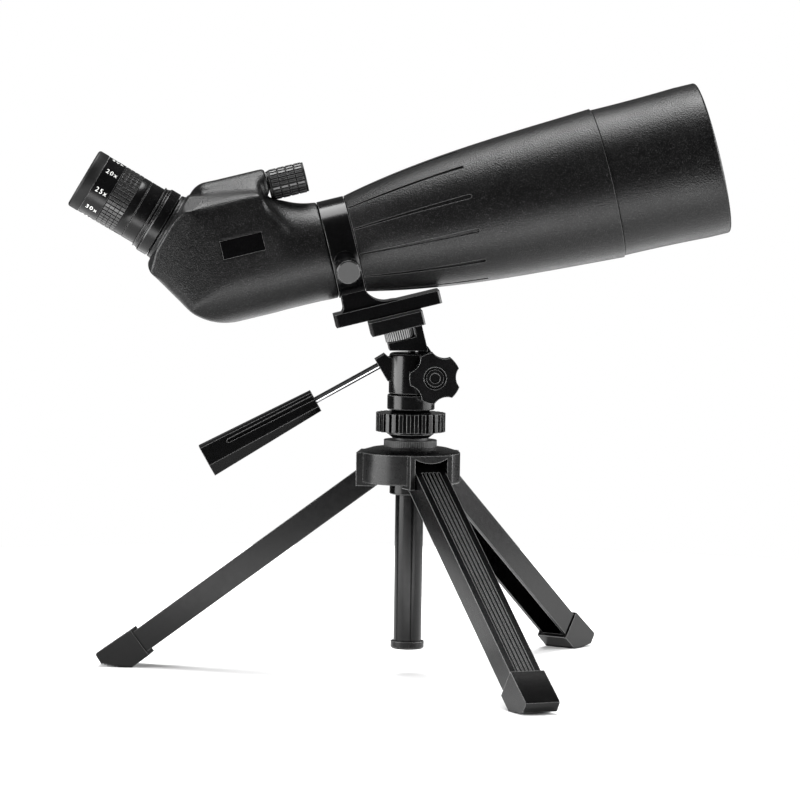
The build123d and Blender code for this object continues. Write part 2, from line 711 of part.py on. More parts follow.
KNOB_FROM = 12.7
KNOB_FACE = 26.4
tilt_bolt = Plane(
    origin=column_side.from_local_coords((PIVOT_X, PIVOT_Z, 0)), x_dir=(0, -1, 0), z_dir=(0, 0, 1)
)
with BuildPart() as bolt:
    add(tube(tilt_bolt, -16.6, 22, 0, 3.0).part)
    with BuildSketch(column_side.offset(-16.8)):
        with Locations((PIVOT_X, PIVOT_Z)):
            RegularPolygon(5.8, 6)
    extrude(amount=4.2)
finish(bolt, "tilt_bolt")

with BuildPart() as star_knob:
    with BuildSketch(column_side.offset(KNOB_FROM + 2.6)):
        with Locations((PIVOT_X, PIVOT_Z)):
            Circle(15.8)
            with PolarLocations(22.1, 5, start_angle=74.5):
                Circle(9.3, mode=Mode.SUBTRACT)
    extrude(amount=KNOB_FACE - KNOB_FROM - 2.6)
    add(tube(tilt_bolt, KNOB_FROM, 16, 0, 7.0).part)
    add(tube(tilt_bolt, KNOB_FROM - 1, 22.2, 0, 3.05).part, mode=Mode.SUBTRACT)
    add(tube(tilt_bolt, KNOB_FACE - 1.6, KNOB_FACE + 1, 0, 6.8).part, mode=Mode.SUBTRACT)
    add(tube(tilt_bolt, KNOB_FACE - 1.7, KNOB_FACE - 0.9, 3.05, 5.4).part)
finish(star_knob, "star_knob")

# ---------------------------------------------------------------- column and lock nut
column_tube = tube(column_up, COLUMN_BOTTOM + 4.1, 167.9, 7.2, TUBE_COLUMN_R)
finish(column_tube, "column_tube")
column_cap = turned(
    column_up,
    [(15.9, 0), (15.9, 9.6), (16.9, 10.4), (20.6, 10.4), (20.6, 8.75), (20.0, 8.75), (20.0, 7.15),
     (30, 7.15), (30, 0)],
)
finish(column_cap, "column_end_cap")

with BuildPart() as lock_nut:
    add(
        turned(
            column_up,
            [(147.0, 11.33), (149.3, 14.4), (151.0, 14.4), (151.0, 19.4), (162.3, 19.4), (162.3, 13.2),
             (164.2, 11.2), (164.2, 9.05), (158.5, 9.05), (158.5, 11.33)],
        ).part
    )
    with BuildSketch(Plane(origin=(COLUMN_X, COLUMN_Y, 150.9))):
        Circle(NUT_R)
        Circle(19.2, mode=Mode.SUBTRACT)
        with PolarLocations(NUT_R, 28):
            Rectangle(5, 2.2, mode=Mode.SUBTRACT)
    extrude(amount=11.5)
finish(lock_nut, "column_lock_nut")

with BuildPart() as hub_ring:
    with BuildSketch(Plane(origin=(COLUMN_X, COLUMN_Y, HUB_TOP + 0.05))):
        Circle(16.4)
        with PolarLocations(16.6, 72):
            Circle(0.42, mode=Mode.SUBTRACT)
    extrude(amount=4.2)
    add(tube(column_up, 142, 157, 9, 11.25).part)
    add(tube(column_up, 141, 158, 0, 10.1).part, mode=Mode.SUBTRACT)
finish(hub_ring, "collet_ring")

with BuildPart() as collet:
    add(tube(column_up, 142, 157.5, TUBE_COLUMN_R + 0.1, 10.0).part)
    with BuildSketch(Plane(origin=(COLUMN_X, COLUMN_Y, 147))):
        Rectangle(24, 1)
        Rectangle(1, 24)
    extrude(amount=12, mode=Mode.SUBTRACT)
finish(collet, "column_collet")

# ---------------------------------------------------------------- hub
pivot_run, pivot_below = LEG_PIVOT
with BuildPart() as hub:
    with BuildSketch(column_up):
        with BuildLine():
            Polyline(
                [(HUB_FROM, 11.05), (HUB_FROM, 30.6), (HUB_FROM + 0.5, HUB_R), (HUB_EDGE - 0.7, HUB_R),
                 (HUB_EDGE, 30.3), (HUB_TOP - 0.9, 24), (HUB_TOP, 17.6), (HUB_TOP, 11.05)],
                close=True,
            )
        make_face()
    revolve(axis=Axis(column_up.origin, column_up.x_dir))
    for azimuth in LEG_AZIMUTHS.values():
        frame = leg_plane(azimuth)
        out = Vector(cos(radians(azimuth)), sin(radians(azimuth)), 0)
        side = Vector(-sin(radians(azimuth)), cos(radians(azimuth)), 0)
        face = Plane(origin=Vector(COLUMN_X, COLUMN_Y, 0) + out * 20, x_dir=side, z_dir=out)
        with BuildSketch(face):
            with Locations((0, (HUB_EDGE - 0.5 + CLEVIS_FROM) / 2)):
                Rectangle(28.4, HUB_EDGE - 0.5 - CLEVIS_FROM)
        extrude(amount=CLEVIS_R - 20)
        with BuildSketch(face.offset(-6.8)):
            with BuildLine():
                lip = ThreePointArc((10.8, 136.2), (0, 133.3), (-10.8, 136.2))
                Polyline(lip @ 1, (-10.8, 110), (10.8, 110), lip @ 0)
            make_face()
        extrude(amount=30, mode=Mode.SUBTRACT)
        with BuildSketch(frame):
            with Locations(LEG_PIVOT):
                Circle(PIN_R + 0.02)
        extrude(amount=14, both=True, mode=Mode.SUBTRACT)
finish(hub, "tripod_hub")

hub_bush = turned(
    column_up,
    [(112, 9.0), (112, 12.0), (112.4, 12.4), (119.45, 12.4), (119.45, 11.0), (141.4, 11.0), (141.4, 9.0)],
)
finish(hub_bush, "hub_bush")

with BuildPart() as leg_pins:
    for azimuth in LEG_AZIMUTHS.values():
        with BuildSketch(leg_plane(azimuth)):
            with Locations(LEG_PIVOT):
                Circle(PIN_R)
        extrude(amount=13.8, both=True)
finish(leg_pins, "leg_pins")

# ---------------------------------------------------------------- legs and feet
FOOT_FROM = 184.3
FOOT_OUT = 2.0  # the rubber stands this far proud of the leg
FOOT_IN = 17.6
FOOT_TOE = 12.4  # the flat sole ends here, and the toe lifts from it


def run_at_floor(below):
    """How far down the leg the table is, at a depth below the outer face."""
    return (LEG_Z0 - below * sin(radians(LEG_SPLAY))) / cos(radians(LEG_SPLAY))


def make_leg(frame):
    """A ribbed channel, open underneath, with a round solid end on the pin."""
    with BuildPart() as leg:
        with BuildSketch(frame):
            with Locations(LEG_PIVOT):
                Circle(pivot_below)
            with Locations(((LEG_END + pivot_run) / 2, LEG_DEPTH / 2)):
                Rectangle(LEG_END - pivot_run, LEG_DEPTH)
        extrude(amount=LEG_WIDTH / 2, both=True)
        with BuildSketch(frame):
            with Locations((LEG_END / 2 + 10, LEG_DEPTH / 2 + LEG_WALL)):
                Rectangle(LEG_END - 10, LEG_DEPTH)
        extrude(amount=LEG_WIDTH / 2 - LEG_WALL, both=True, mode=Mode.SUBTRACT)
        with BuildSketch(frame):
            with Locations(LEG_PIVOT):
                Circle(PIN_R + 0.08)
        extrude(amount=LEG_WIDTH, both=True, mode=Mode.SUBTRACT)
        for across_leg in (-5.2, -2.6, 0, 2.6, 5.2):
            with BuildSketch(frame.offset(across_leg)):
                with Locations((97, 0)):
                    Rectangle(176, 1.6)
            extrude(amount=0.75, both=True, mode=Mode.SUBTRACT)
    return leg


def make_foot(frame):
    """A rubber shoe over the leg's end, cut off level with the table."""
    heel = run_at_floor(FOOT_IN)
    with BuildPart() as foot:
        with BuildSketch(frame):
            with BuildLine():
                Polyline(
                    [(FOOT_FROM, -FOOT_OUT), (210.2, -2.8), (211.2, -2.3), (211.6, -1.4), (211.9, 4.7),
                     (run_at_floor(FOOT_TOE), FOOT_TOE), (heel, FOOT_IN), (FOOT_FROM, FOOT_IN)],
                    close=True,
                )
            make_face()
        extrude(amount=FOOT_WIDTH / 2, both=True)
        with BuildSketch(frame):
            with Locations(((FOOT_FROM + LEG_END) / 2, LEG_DEPTH / 2)):
                Rectangle(LEG_END - FOOT_FROM + 0.2, LEG_DEPTH + 0.1)
        extrude(amount=LEG_WIDTH / 2 + 0.05, both=True, mode=Mode.SUBTRACT)
        for share in (0.1, 0.3, 0.5, 0.7, 0.9):
            toe = 211.9 + (run_at_floor(FOOT_TOE) - 211.9) * share
            with BuildSketch(frame):
                with Locations((toe, 4.7 + (FOOT_TOE - 4.7) * share)):
                    Circle(0.6)
            extrude(amount=FOOT_WIDTH, both=True, mode=Mode.SUBTRACT)
    return foot


for name, azimuth in LEG_AZIMUTHS.items():
    finish(make_leg(leg_plane(azimuth)), f"leg_{name}")
    finish(make_foot(leg_plane(azimuth)), f"foot_{name}")
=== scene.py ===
import json
import math

import bmesh
import bpy
import numpy as np
from mathutils import Matrix, Vector


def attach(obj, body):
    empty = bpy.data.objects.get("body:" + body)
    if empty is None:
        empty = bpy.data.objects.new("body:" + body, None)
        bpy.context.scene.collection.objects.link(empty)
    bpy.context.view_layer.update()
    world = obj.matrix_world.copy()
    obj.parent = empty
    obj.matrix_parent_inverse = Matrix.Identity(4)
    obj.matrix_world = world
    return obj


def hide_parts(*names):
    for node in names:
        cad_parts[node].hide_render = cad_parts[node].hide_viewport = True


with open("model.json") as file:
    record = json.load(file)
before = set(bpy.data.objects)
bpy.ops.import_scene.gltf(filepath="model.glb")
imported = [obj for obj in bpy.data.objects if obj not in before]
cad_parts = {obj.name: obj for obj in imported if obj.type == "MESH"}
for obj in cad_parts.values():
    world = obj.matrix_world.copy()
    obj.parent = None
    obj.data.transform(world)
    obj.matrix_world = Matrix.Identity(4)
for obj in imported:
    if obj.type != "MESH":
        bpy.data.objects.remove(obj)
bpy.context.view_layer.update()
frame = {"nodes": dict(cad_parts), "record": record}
NODES = frame["nodes"]
MM = 0.001

# angles in degrees that part.py sets
TILT_DEGREES = 14.3
EYEPIECE_DEGREES = 44.3
TILT = math.radians(TILT_DEGREES)
EYE_ANGLE = math.radians(180 - EYEPIECE_DEGREES + TILT_DEGREES)

# places in millimetres and directions that part.py sets; the eyepiece's axis meets the scope's at EYE_CROSS
COLUMN = Vector((8.6, 13.4, 0.0))
SCOPE = COLUMN + Vector((-44.7, 0, 264.2))
SIGHT = Vector((math.cos(TILT), 0, math.sin(TILT)))
SCOPE_UP = Vector((-math.sin(TILT), 0, math.cos(TILT)))
EYE = Vector((math.cos(EYE_ANGLE), 0, math.sin(EYE_ANGLE)))
EYE_UP = Vector((EYE.z, 0, -EYE.x))
EYE_CROSS = SCOPE + SIGHT * -63.3
KNOB_CENTRE = SCOPE + SCOPE_UP * 47.2
WHEEL_CENTRE = SCOPE + SIGHT * 22.6 + SCOPE_UP * -61
NEAR_SIDE = Vector((0, -1, 0))

# the badge on the housing's near side, in millimetres from SCOPE
BADGE_ALONG = -58.9
BADGE_UP = 16.4
BADGE_HALF_LENGTH = 13.3
BADGE_HALF_HEIGHT = 5.9
BADGE_BACK = -27

# grip blocks: where they start under the drum's surface, the share of their height with upright sides,
# and how far each side leans in above that; lengths in millimetres
BLOCK_ROOT = -0.25
BLOCK_SHOULDER = 0.6
BLOCK_SLOPE = 0.18

# lengths in metres
# how far the painted shade in grooves and corners reaches
CREVICE_SHADE_REACH = 0.0016
VOXEL = 0.0007
WELD_DISTANCE = 0.000002

SOFTENING_SAMPLES = 6
SMOOTH_ANGLE = math.radians(32)


# ---------------------------------------------------------------- materials
class Nodes:
    """A material's node tree with a Principled shader at its end."""

    SOCKETS = {
        "color": "Base Color",
        "metallic": "Metallic",
        "roughness": "Roughness",
        "specular": "Specular IOR Level",
        "coat": "Coat Weight",
        "coat_roughness": "Coat Roughness",
        "ior": "IOR",
        "transmission": "Transmission Weight",
        "sheen": "Sheen Weight",
    }

    def __init__(self, name):
        self.material = bpy.data.materials.new(name)
        self.material.use_nodes = True
        self.tree = self.material.node_tree
        self.shader = self.tree.nodes["Principled BSDF"]
        self.place = self.add("ShaderNodeTexCoord").outputs["Object"]

    def add(self, kind, **values):
        node = self.tree.nodes.new(kind)
        for key, value in values.items():
            setattr(node, key, value)
        return node

    def link(self, start, end):
        self.tree.links.new(start, end)

    def set(self, **values):
        """Gives sockets of the shader a constant."""
        for key, value in values.items():
            self.shader.inputs[self.SOCKETS[key]].default_value = value

    def drive(self, **sources):
        """Links patterns to sockets of the shader."""
        for key, source in sources.items():
            self.link(source, self.shader.inputs[self.SOCKETS[key]])

    def noise(self, scale, detail=3.0, rough=0.5):
        node = self.add("ShaderNodeTexNoise")
        node.inputs["Scale"].default_value = scale
        node.inputs["Detail"].default_value = detail
        node.inputs["Roughness"].default_value = rough
        self.link(self.place, node.inputs["Vector"])
        return node.outputs["Fac"]

    def cells(self, scale, smooth):
        """Rounded cells, lowest in the middle of each."""
        node = self.add("ShaderNodeTexVoronoi", feature="SMOOTH_F1")
        node.inputs["Scale"].default_value = scale
        node.inputs["Smoothness"].default_value = smooth
        self.link(self.place, node.inputs["Vector"])
        return node.outputs["Distance"]

    def ramp(self, source, low, high, start=0.0, end=1.0):
        """A value that goes from low to high as the source goes from start to end."""
        node = self.add("ShaderNodeMapRange")
        node.inputs["From Min"].default_value = start
        node.inputs["From Max"].default_value = end
        node.inputs["To Min"].default_value = low
        node.inputs["To Max"].default_value = high
        self.link(source, node.inputs["Value"])
        return node.outputs["Result"]

    def blend(self, source, dark, light, start=0.3, end=0.7):
        """A colour that goes from dark to light as the source goes from start to end."""
        node = self.add("ShaderNodeValToRGB")
        node.color_ramp.elements[0].position = start
        node.color_ramp.elements[1].position = end
        node.color_ramp.elements[0].color = (*dark, 1)
        node.color_ramp.elements[1].color = (*light, 1)
        self.link(source, node.inputs["Fac"])
        return node.outputs["Color"]

    def mix(self, share, start, end):
        """A colour between two; either may be a colour or a socket."""
        node = self.add("ShaderNodeMix", data_type="RGBA")
        self.link(share, node.inputs["Factor"])
        for value, socket in ((start, node.inputs["A"]), (end, node.inputs["B"])):
            if isinstance(value, tuple):
                socket.default_value = (*value, 1)
            else:
                self.link(value, socket)
        return node.outputs["Result"]

    def calculate(self, operation, *values):
        """One sum; each value may be a whole number or a socket."""
        node = self.add("ShaderNodeMath", operation=operation)
        for value, socket in zip(values, node.inputs):
            if isinstance(value, int):
                socket.default_value = value
            else:
                self.link(value, socket)
        return node.outputs["Value"]

    def bevel(self, radius):
        """The normal with edges rounded to that radius in metres."""
        node = self.add("ShaderNodeBevel", samples=SOFTENING_SAMPLES)
        node.inputs["Radius"].default_value = radius
        return node.outputs["Normal"]

    def crevice_shade(self):
        """One in the open and less in a groove or a corner: the mask for painted shade in grooves and
        corners.
        """
        node = self.add("ShaderNodeAmbientOcclusion", samples=SOFTENING_SAMPLES)
        node.inputs["Distance"].default_value = CREVICE_SHADE_REACH
        return node.outputs["AO"]

    def edges(self, radius):
        """One on an edge and nought on a flat or gently curved face."""
        dot = self.add("ShaderNodeVectorMath", operation="DOT_PRODUCT")
        self.link(self.bevel(radius), dot.inputs[0])
        self.link(self.add("ShaderNodeNewGeometry").outputs["Normal"], dot.inputs[1])
        return self.ramp(dot.outputs["Value"], low=0.0, high=1.0, start=0.997, end=0.9)

    def open_edge_highlight(self, radius, unshaded, start, end):
        """The mask for painted highlights on edges that stand in the open; the openness counts from start on
        and counts in full at end.
        """
        return self.calculate("MULTIPLY", self.edges(radius), self.ramp(unshaded, 0.0, 1.0, start, end))

    def bump(self, *layers, edge=0.0):
        """Bump layers as (height, depth in metres, strength), over softened edges of that radius."""
        normal = self.bevel(edge) if edge else None
        for height, depth, strength in layers:
            node = self.add("ShaderNodeBump")
            node.inputs["Distance"].default_value = depth
            node.inputs["Strength"].default_value = strength
            self.link(height, node.inputs["Height"])
            if normal is not None:
                self.link(normal, node.inputs["Normal"])
            normal = node.outputs["Normal"]
        self.link(normal, self.shader.inputs["Normal"])


def grey(value):
    return (value, value, value)


def scaled(share, tone):
    return tuple(share * t for t in tone)


def armour():
    """Moulded body armour: a fine dimpled grain with a satin top, painted highlights on open edges and
    painted shade in grooves.
    """
    m = Nodes("armour")
    unshaded = m.crevice_shade()
    speckle = m.blend(
        m.noise(scale=1900, detail=2), dark=(0.0008, 0.0008, 0.0009), light=grey(0.04), start=0.54, end=0.78
    )
    # painted highlight: open edges mix towards light grey; painted shade: specular falls away in grooves and
    # corners
    m.drive(
        color=m.mix(m.open_edge_highlight(0.0005, unshaded, start=0.7, end=0.95), speckle, grey(0.1)),
        roughness=m.ramp(m.noise(scale=90, detail=2), low=0.3, high=0.36, start=0.3, end=0.7),
        specular=m.ramp(unshaded, low=0.0, high=0.22, start=0.3, end=0.9),
    )
    dimples = m.cells(scale=1200, smooth=0.35)
    m.bump((dimples, 0.0002, 0.7), (m.noise(scale=2000, detail=2), 0.00005, 0.5), edge=0.0006)
    return m.material


def moulded(name, tone, low, high, grain=0.00004, edge=0.0004, specular=0.22):
    """Moulded or painted black: a faint grain, roughness from low to high, painted highlights on open edges,
    painted shade in grooves.
    """
    m = Nodes(name)
    unshaded = m.crevice_shade()
    patches = m.noise(scale=140, detail=4, rough=0.6)
    plain = m.blend(patches, dark=scaled(0.06, tone), light=scaled(0.14, tone))
    # painted highlight: open edges mix towards light grey; painted shade: specular falls away in grooves and
    # corners
    m.drive(
        color=m.mix(m.open_edge_highlight(edge, unshaded, start=0.78, end=0.98), plain, grey(0.13)),
        roughness=m.ramp(m.noise(scale=320, detail=5, rough=0.65), low, high, start=0.3, end=0.7),
        specular=m.ramp(unshaded, low=0.0, high=specular, start=0.25, end=0.9),
    )
    m.bump((m.noise(scale=2600), grain, 0.4), edge=edge)
    return m.material


def metal(name, tone, low, high, closeness):
    """Bare metal with fine marks, closest together along the axes with most closeness, and painted shade in
    its grooves.
    """
    m = Nodes(name)
    mapping = m.add("ShaderNodeMapping")
    mapping.inputs["Scale"].default_value = closeness
    m.link(m.place, mapping.inputs["Vector"])
    noise = m.add("ShaderNodeTexNoise")
    noise.inputs["Scale"].default_value = 900
    noise.inputs["Detail"].default_value = 4
    m.link(mapping.outputs["Vector"], noise.inputs["Vector"])
    marks = noise.outputs["Fac"]
    plain = m.blend(marks, dark=scaled(0.85, tone), light=tone)
    unshaded = m.ramp(m.crevice_shade(), low=0.0, high=1.0, start=0.35, end=0.85)
    # painted shade: the colour goes nearly black in grooves and corners
    m.drive(
        color=m.mix(unshaded, grey(0.004), plain),
        roughness=m.ramp(marks, low, high, start=0.3, end=0.7),
    )
    m.set(metallic=1.0)
    m.bump((marks, 0.00003, 0.3), edge=0.0003)
    return m.material


def knurled(name, centre, axis, first, count, groove, crest):
    """A rim with ribs along its axis: painted shade in the grooves, painted highlights on the crests, and the
    first crest in that direction.
    """
    m = Nodes(name)
    offset = m.add("ShaderNodeVectorMath", operation="SUBTRACT")
    offset.inputs[1].default_value = centre * MM
    m.link(m.place, offset.inputs[0])
    sides = []
    for way in (first, axis.cross(first)):
        dot = m.add("ShaderNodeVectorMath", operation="DOT_PRODUCT")
        dot.inputs[1].default_value = way
        m.link(offset.outputs["Vector"], dot.inputs[0])
        sides.append(dot.outputs["Value"])
    turn = m.calculate("ARCTAN2", sides[1], sides[0])
    wave = m.calculate("COSINE", m.calculate("MULTIPLY", turn, count))
    ribs = m.ramp(wave, low=0.0, high=1.0, start=-0.35, end=0.35)
    # the ribs' colour is painted light: near-black grooves are painted shade, lighter crests are painted
    # highlights; the bump is their real relief
    m.drive(
        color=m.mix(ribs, grey(groove), grey(crest)),
        roughness=m.ramp(m.noise(scale=600), low=0.3, high=0.4, start=0.3, end=0.7),
    )
    m.set(specular=0.3)
    m.bump((ribs, 0.0003, 0.7), edge=0.0002)
    return m.material


def glass(name, tint, coating):
    """Coated lens glass with a faint, uneven tint."""
    m = Nodes(name)
    m.drive(color=m.blend(m.noise(scale=14, detail=1), dark=tint, light=coating, start=0.2, end=0.8))
    m.set(roughness=0.03, transmission=0.85, ior=1.5, coat=0.6, coat_roughness=0.02)
    m.bump((m.noise(scale=60, detail=1), 0.00001, 0.05))
    return m.material


def felt():
    """Dark fibres with a soft sheen."""
    m = Nodes("felt")
    fibres = m.noise(scale=5200, detail=6, rough=0.8)
    m.drive(color=m.blend(fibres, dark=grey(0.008), light=grey(0.03)))
    m.set(roughness=0.95, sheen=0.4)
    m.bump((fibres, 0.0003, 0.8))
    return m.material


def printed(name, tone):
    """Screen-printed paint with a little unevenness."""
    m = Nodes(name)
    m.drive(color=m.blend(m.noise(scale=900), dark=scaled(0.82, tone), light=tone))
    m.set(roughness=0.45, specular=0.3)
    m.bump((m.noise(scale=3000, detail=2), 0.00001, 0.3))
    return m.material


# by the CAD's material slot
SLOT_MATERIALS = {
    "armour": armour(),
    "collar_metal": moulded("collar_metal", (0.01, 0.01, 0.011), 0.16, 0.2, 0.00001, edge=0.0006),
    "eyepiece_metal": moulded("eyepiece_metal", (0.014, 0.014, 0.015), 0.2, 0.3),
    "eyecup_rubber": moulded("eyecup_rubber", (0.02, 0.02, 0.021), 0.48, 0.58, 0.00006),
    "knob_plastic": moulded("knob_plastic", (0.02, 0.02, 0.021), 0.16, 0.2, 0.00001, edge=0.0007),
    "head_plastic": moulded("head_plastic", (0.008, 0.008, 0.009), 0.17, 0.21, 0.00001, edge=0.0006),
    "hub_plastic": moulded("hub_plastic", (0.012, 0.012, 0.013), 0.25, 0.31, 0.00002, edge=0.0008),
    "leg_plastic": moulded("leg_plastic", (0.012, 0.012, 0.013), 0.17, 0.22, 0.00001, edge=0.0008),
    "grip_plastic": moulded(
        "grip_plastic", (0.01, 0.01, 0.011), 0.15, 0.19, 0.00001, edge=0.0008, specular=0.16
    ),
    "foot_rubber": moulded("foot_rubber", (0.014, 0.014, 0.014), 0.2, 0.26, 0.00002, edge=0.0008),
    "pad_rubber": moulded("pad_rubber", (0.012, 0.012, 0.012), 0.7, 0.8, 0.00008),
    "column_metal": moulded("column_metal", (0.01, 0.01, 0.011), 0.16, 0.2, 0.00001),
    "inner_metal": moulded("inner_metal", (0.01, 0.01, 0.01), 0.5, 0.6),
    "badge": moulded("badge", (0.006, 0.006, 0.007), 0.12, 0.2, 0.00001),
    "steel": metal("steel", (0.55, 0.55, 0.57), 0.25, 0.35, closeness=(1, 1, 6)),
    "chrome": metal("chrome", (0.5, 0.5, 0.51), 0.06, 0.1, closeness=(6, 1, 6)),
    "brass": metal("brass", (0.55, 0.4, 0.18), 0.25, 0.35, closeness=(1, 1, 6)),
    "coated_glass": glass("coated_glass", (0.55, 0.68, 0.75), (0.7, 0.55, 0.8)),
    "prism_glass": glass("prism_glass", (0.85, 0.9, 0.92), (0.8, 0.86, 0.9)),
    "felt": felt(),
}
# by node, in place of the slot's own; their groove tones are painted shade and their crest tones painted
# highlights
RIM_MATERIALS = {
    "screw_thumbwheel": knurled(
        "wheel_rim", WHEEL_CENTRE, axis=SCOPE_UP, first=Vector((0, 1, 0)),
        count=40, groove=0.003, crest=0.34,
    ),
    "collet_ring": knurled(
        "collet_rim", COLUMN, axis=Vector((0, 0, 1)), first=Vector((1, 0, 0)),
        count=72, groove=0.002, crest=0.035,
    ),
}
# of the pieces made here
# the grip blocks' rubber tone is several times lighter than the other black rubber: a painted highlight
ZOOM_RUBBER = moulded("zoom_rubber", (0.1, 0.1, 0.1), 0.26, 0.34, edge=0.0002, specular=0.6)
KNOB_RUBBER = moulded("knob_rubber", (0.08, 0.08, 0.08), 0.26, 0.34, edge=0.0002, specular=0.6)
DIAL_WHITE = printed("dial_white", (0.8, 0.8, 0.78))


# ---------------------------------------------------------------- looks of the CAD nodes
def smooth_edges(obj):
    """Merges doubled points and shades smooth except at sharp edges."""
    weld = obj.modifiers.new("weld", "WELD")
    weld.merge_threshold = WELD_DISTANCE
    obj.data.polygons.foreach_set("use_smooth", [True] * len(obj.data.polygons))
    split = obj.modifiers.new("edges", "EDGE_SPLIT")
    split.split_angle = SMOOTH_ANGLE


SLOT_OF = {s["node"]: s["material_slot"] for s in frame["record"]["subparts"]}
for name, node in NODES.items():
    material = RIM_MATERIALS[name] if name in RIM_MATERIALS else SLOT_MATERIALS[SLOT_OF[name]]
    node.data.materials.clear()
    node.data.materials.append(material)
    smooth_edges(node)


# ---------------------------------------------------------------- pieces made here
def link(name, mesh, material, body):
    """Puts a mesh in the scene as a piece that rides on a CAD body."""
    piece = bpy.data.objects.new(name, mesh)
    bpy.context.scene.collection.objects.link(piece)
    mesh.materials.clear()
    mesh.materials.append(material)
    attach(piece, body)
    return piece


def step(value, low, high):
    """Nought below low, one above high and smooth between."""
    t = np.clip((value - low) / (high - low), 0, 1)
    return t * t * (3 - 2 * t)


def relax(mesh, rounds, share):
    """Moves every point towards the middle of its neighbours, by its own share, that many times."""
    count = len(mesh.vertices)
    points = np.empty(count * 3)
    mesh.vertices.foreach_get("co", points)
    points = points.reshape(-1, 3)
    ends = np.empty(len(mesh.edges) * 2, int)
    mesh.edges.foreach_get("vertices", ends)
    first, second = ends.reshape(-1, 2).T
    degree = np.bincount(ends, minlength=count)[:, None]
    amount = 0.5 * share(points)[:, None]
    for _ in range(rounds):
        near = [
            np.bincount(first, points[second, k], count) + np.bincount(second, points[first, k], count)
            for k in range(3)
        ]
        points += amount * (np.stack(near, 1) / degree - points)
    mesh.vertices.foreach_set("co", points.ravel())
    mesh.update()


def scope_place(points):
    """Along, side and up from the collar's centre, in millimetres, of points in metres."""
    away = points / MM - np.array(SCOPE)
    return away @ np.array(SIGHT), away[:, 1], away @ np.array(SCOPE_UP)


def eye_place(points):
    """Distance along the eyepiece's axis, in millimetres, of points in metres."""
    return (points / MM - np.array(EYE_CROSS)) @ np.array(EYE)


def badge_gap(along, side, up):
    """How far outside the badge's place, in millimetres."""
    beside = np.abs(along - BADGE_ALONG) - BADGE_HALF_LENGTH
    above = np.abs(up - BADGE_UP) - BADGE_HALF_HEIGHT
    return np.maximum(np.maximum(beside, above), side - BADGE_BACK)


def whole_share(points):
    """Every point alike."""
    return np.ones(len(points))


def casting_share(points):
    """How far each point of the housing softens: least at the joints and round the badge."""
    along, side, up = scope_place(points)
    behind_collar = step(-along, 12, 18)
    before_eyepiece = step(-eye_place(points), -46, -42)
    off_badge = step(badge_gap(along, side, up), 0.8, 3.5)
    return behind_collar * before_eyepiece * off_badge


def blend_share(points):
    """The broad blends into the eyepiece boss and into the neck."""
    along, side, up = scope_place(points)
    eye = eye_place(points)
    beside_crown = step(np.abs(side), 8, 16)
    under_bridge = step(-up, -40, -34)
    boss = step(eye, 12, 24) * step(-eye, -45, -40) * beside_crown
    neck = step(along, -50, -40) * step(-along, 13, 22) * under_bridge
    off_badge = step(badge_gap(along, side, up), 2, 7)
    return np.maximum(boss, neck) * off_badge


def housing_shell():
    """The prism housing and the focus bridge as one moulding with soft edges."""
    build = bmesh.new()
    for name in ("prism_housing", "focus_bridge"):
        build.from_mesh(NODES[name].data)
    rough = bpy.data.meshes.new("rough")
    build.to_mesh(rough)
    build.free()
    source = bpy.data.objects.new("rough", rough)
    bpy.context.scene.collection.objects.link(source)
    remesh = source.modifiers.new("remesh", "REMESH")
    remesh.mode = "VOXEL"
    remesh.voxel_size = VOXEL
    bpy.context.view_layer.update()
    mesh = bpy.data.meshes.new_from_object(source.evaluated_get(bpy.context.evaluated_depsgraph_get()))
    bpy.data.objects.remove(source)
    relax(mesh, rounds=3, share=whole_share)
    relax(mesh, rounds=34, share=casting_share)
    relax(mesh, rounds=160, share=blend_share)
    mesh.polygons.foreach_set("use_smooth", [True] * len(mesh.polygons))
    shell = link("housing_shell", mesh, SLOT_MATERIALS["armour"], "scope")
    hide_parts("prism_housing", "focus_bridge")


def raised_block(build, place, start, end, turn, width, radius, height):
    """One block with sloped sides on a drum; place makes a point of an along, an angle and a radius."""
    half = width / radius / 2
    rings = []
    for lift, inset in ((BLOCK_ROOT, 0.0), (height * BLOCK_SHOULDER, 0.0), (height, BLOCK_SLOPE)):
        low, high = start + inset, end - inset
        reach = half - inset / radius
        ring = []
        for along, way in ((low, -1), (high, -1), (high, 1), (low, 1)):
            ring.append(build.verts.new(place(along, turn + way * reach, radius + lift) * MM))
        rings.append(ring)
    for lower, upper in zip(rings, rings[1:]):
        for i in range(4):
            build.faces.new((lower[i], lower[(i + 1) % 4], upper[(i + 1) % 4], upper[i]))
    build.faces.new(rings[-1])
    build.faces.new(reversed(rings[0]))


def block_band(name, centre, axis, zero, rows, count, radius, height, width, material, body):
    """Rows of raised blocks round a drum; each row is a start and an end, and zero is where blocks begin."""
    side = axis.cross(zero)

    def place(along, angle, out):
        return centre + axis * along + (zero * math.cos(angle) + side * math.sin(angle)) * out

    build = bmesh.new()
    for start, end in rows:
        for k in range(count):
            raised_block(build, place, start, end, 2 * math.pi * k / count, width, radius, height)
    bmesh.ops.recalc_face_normals(build, faces=build.faces)
    mesh = bpy.data.meshes.new(name)
    build.to_mesh(mesh)
    build.free()
    link(name, mesh, material, body)


def repeated(start, end, pitch, count):
    """The rows that a first row and its pitch make."""
    return [(start + pitch * k, end + pitch * k) for k in range(count)]


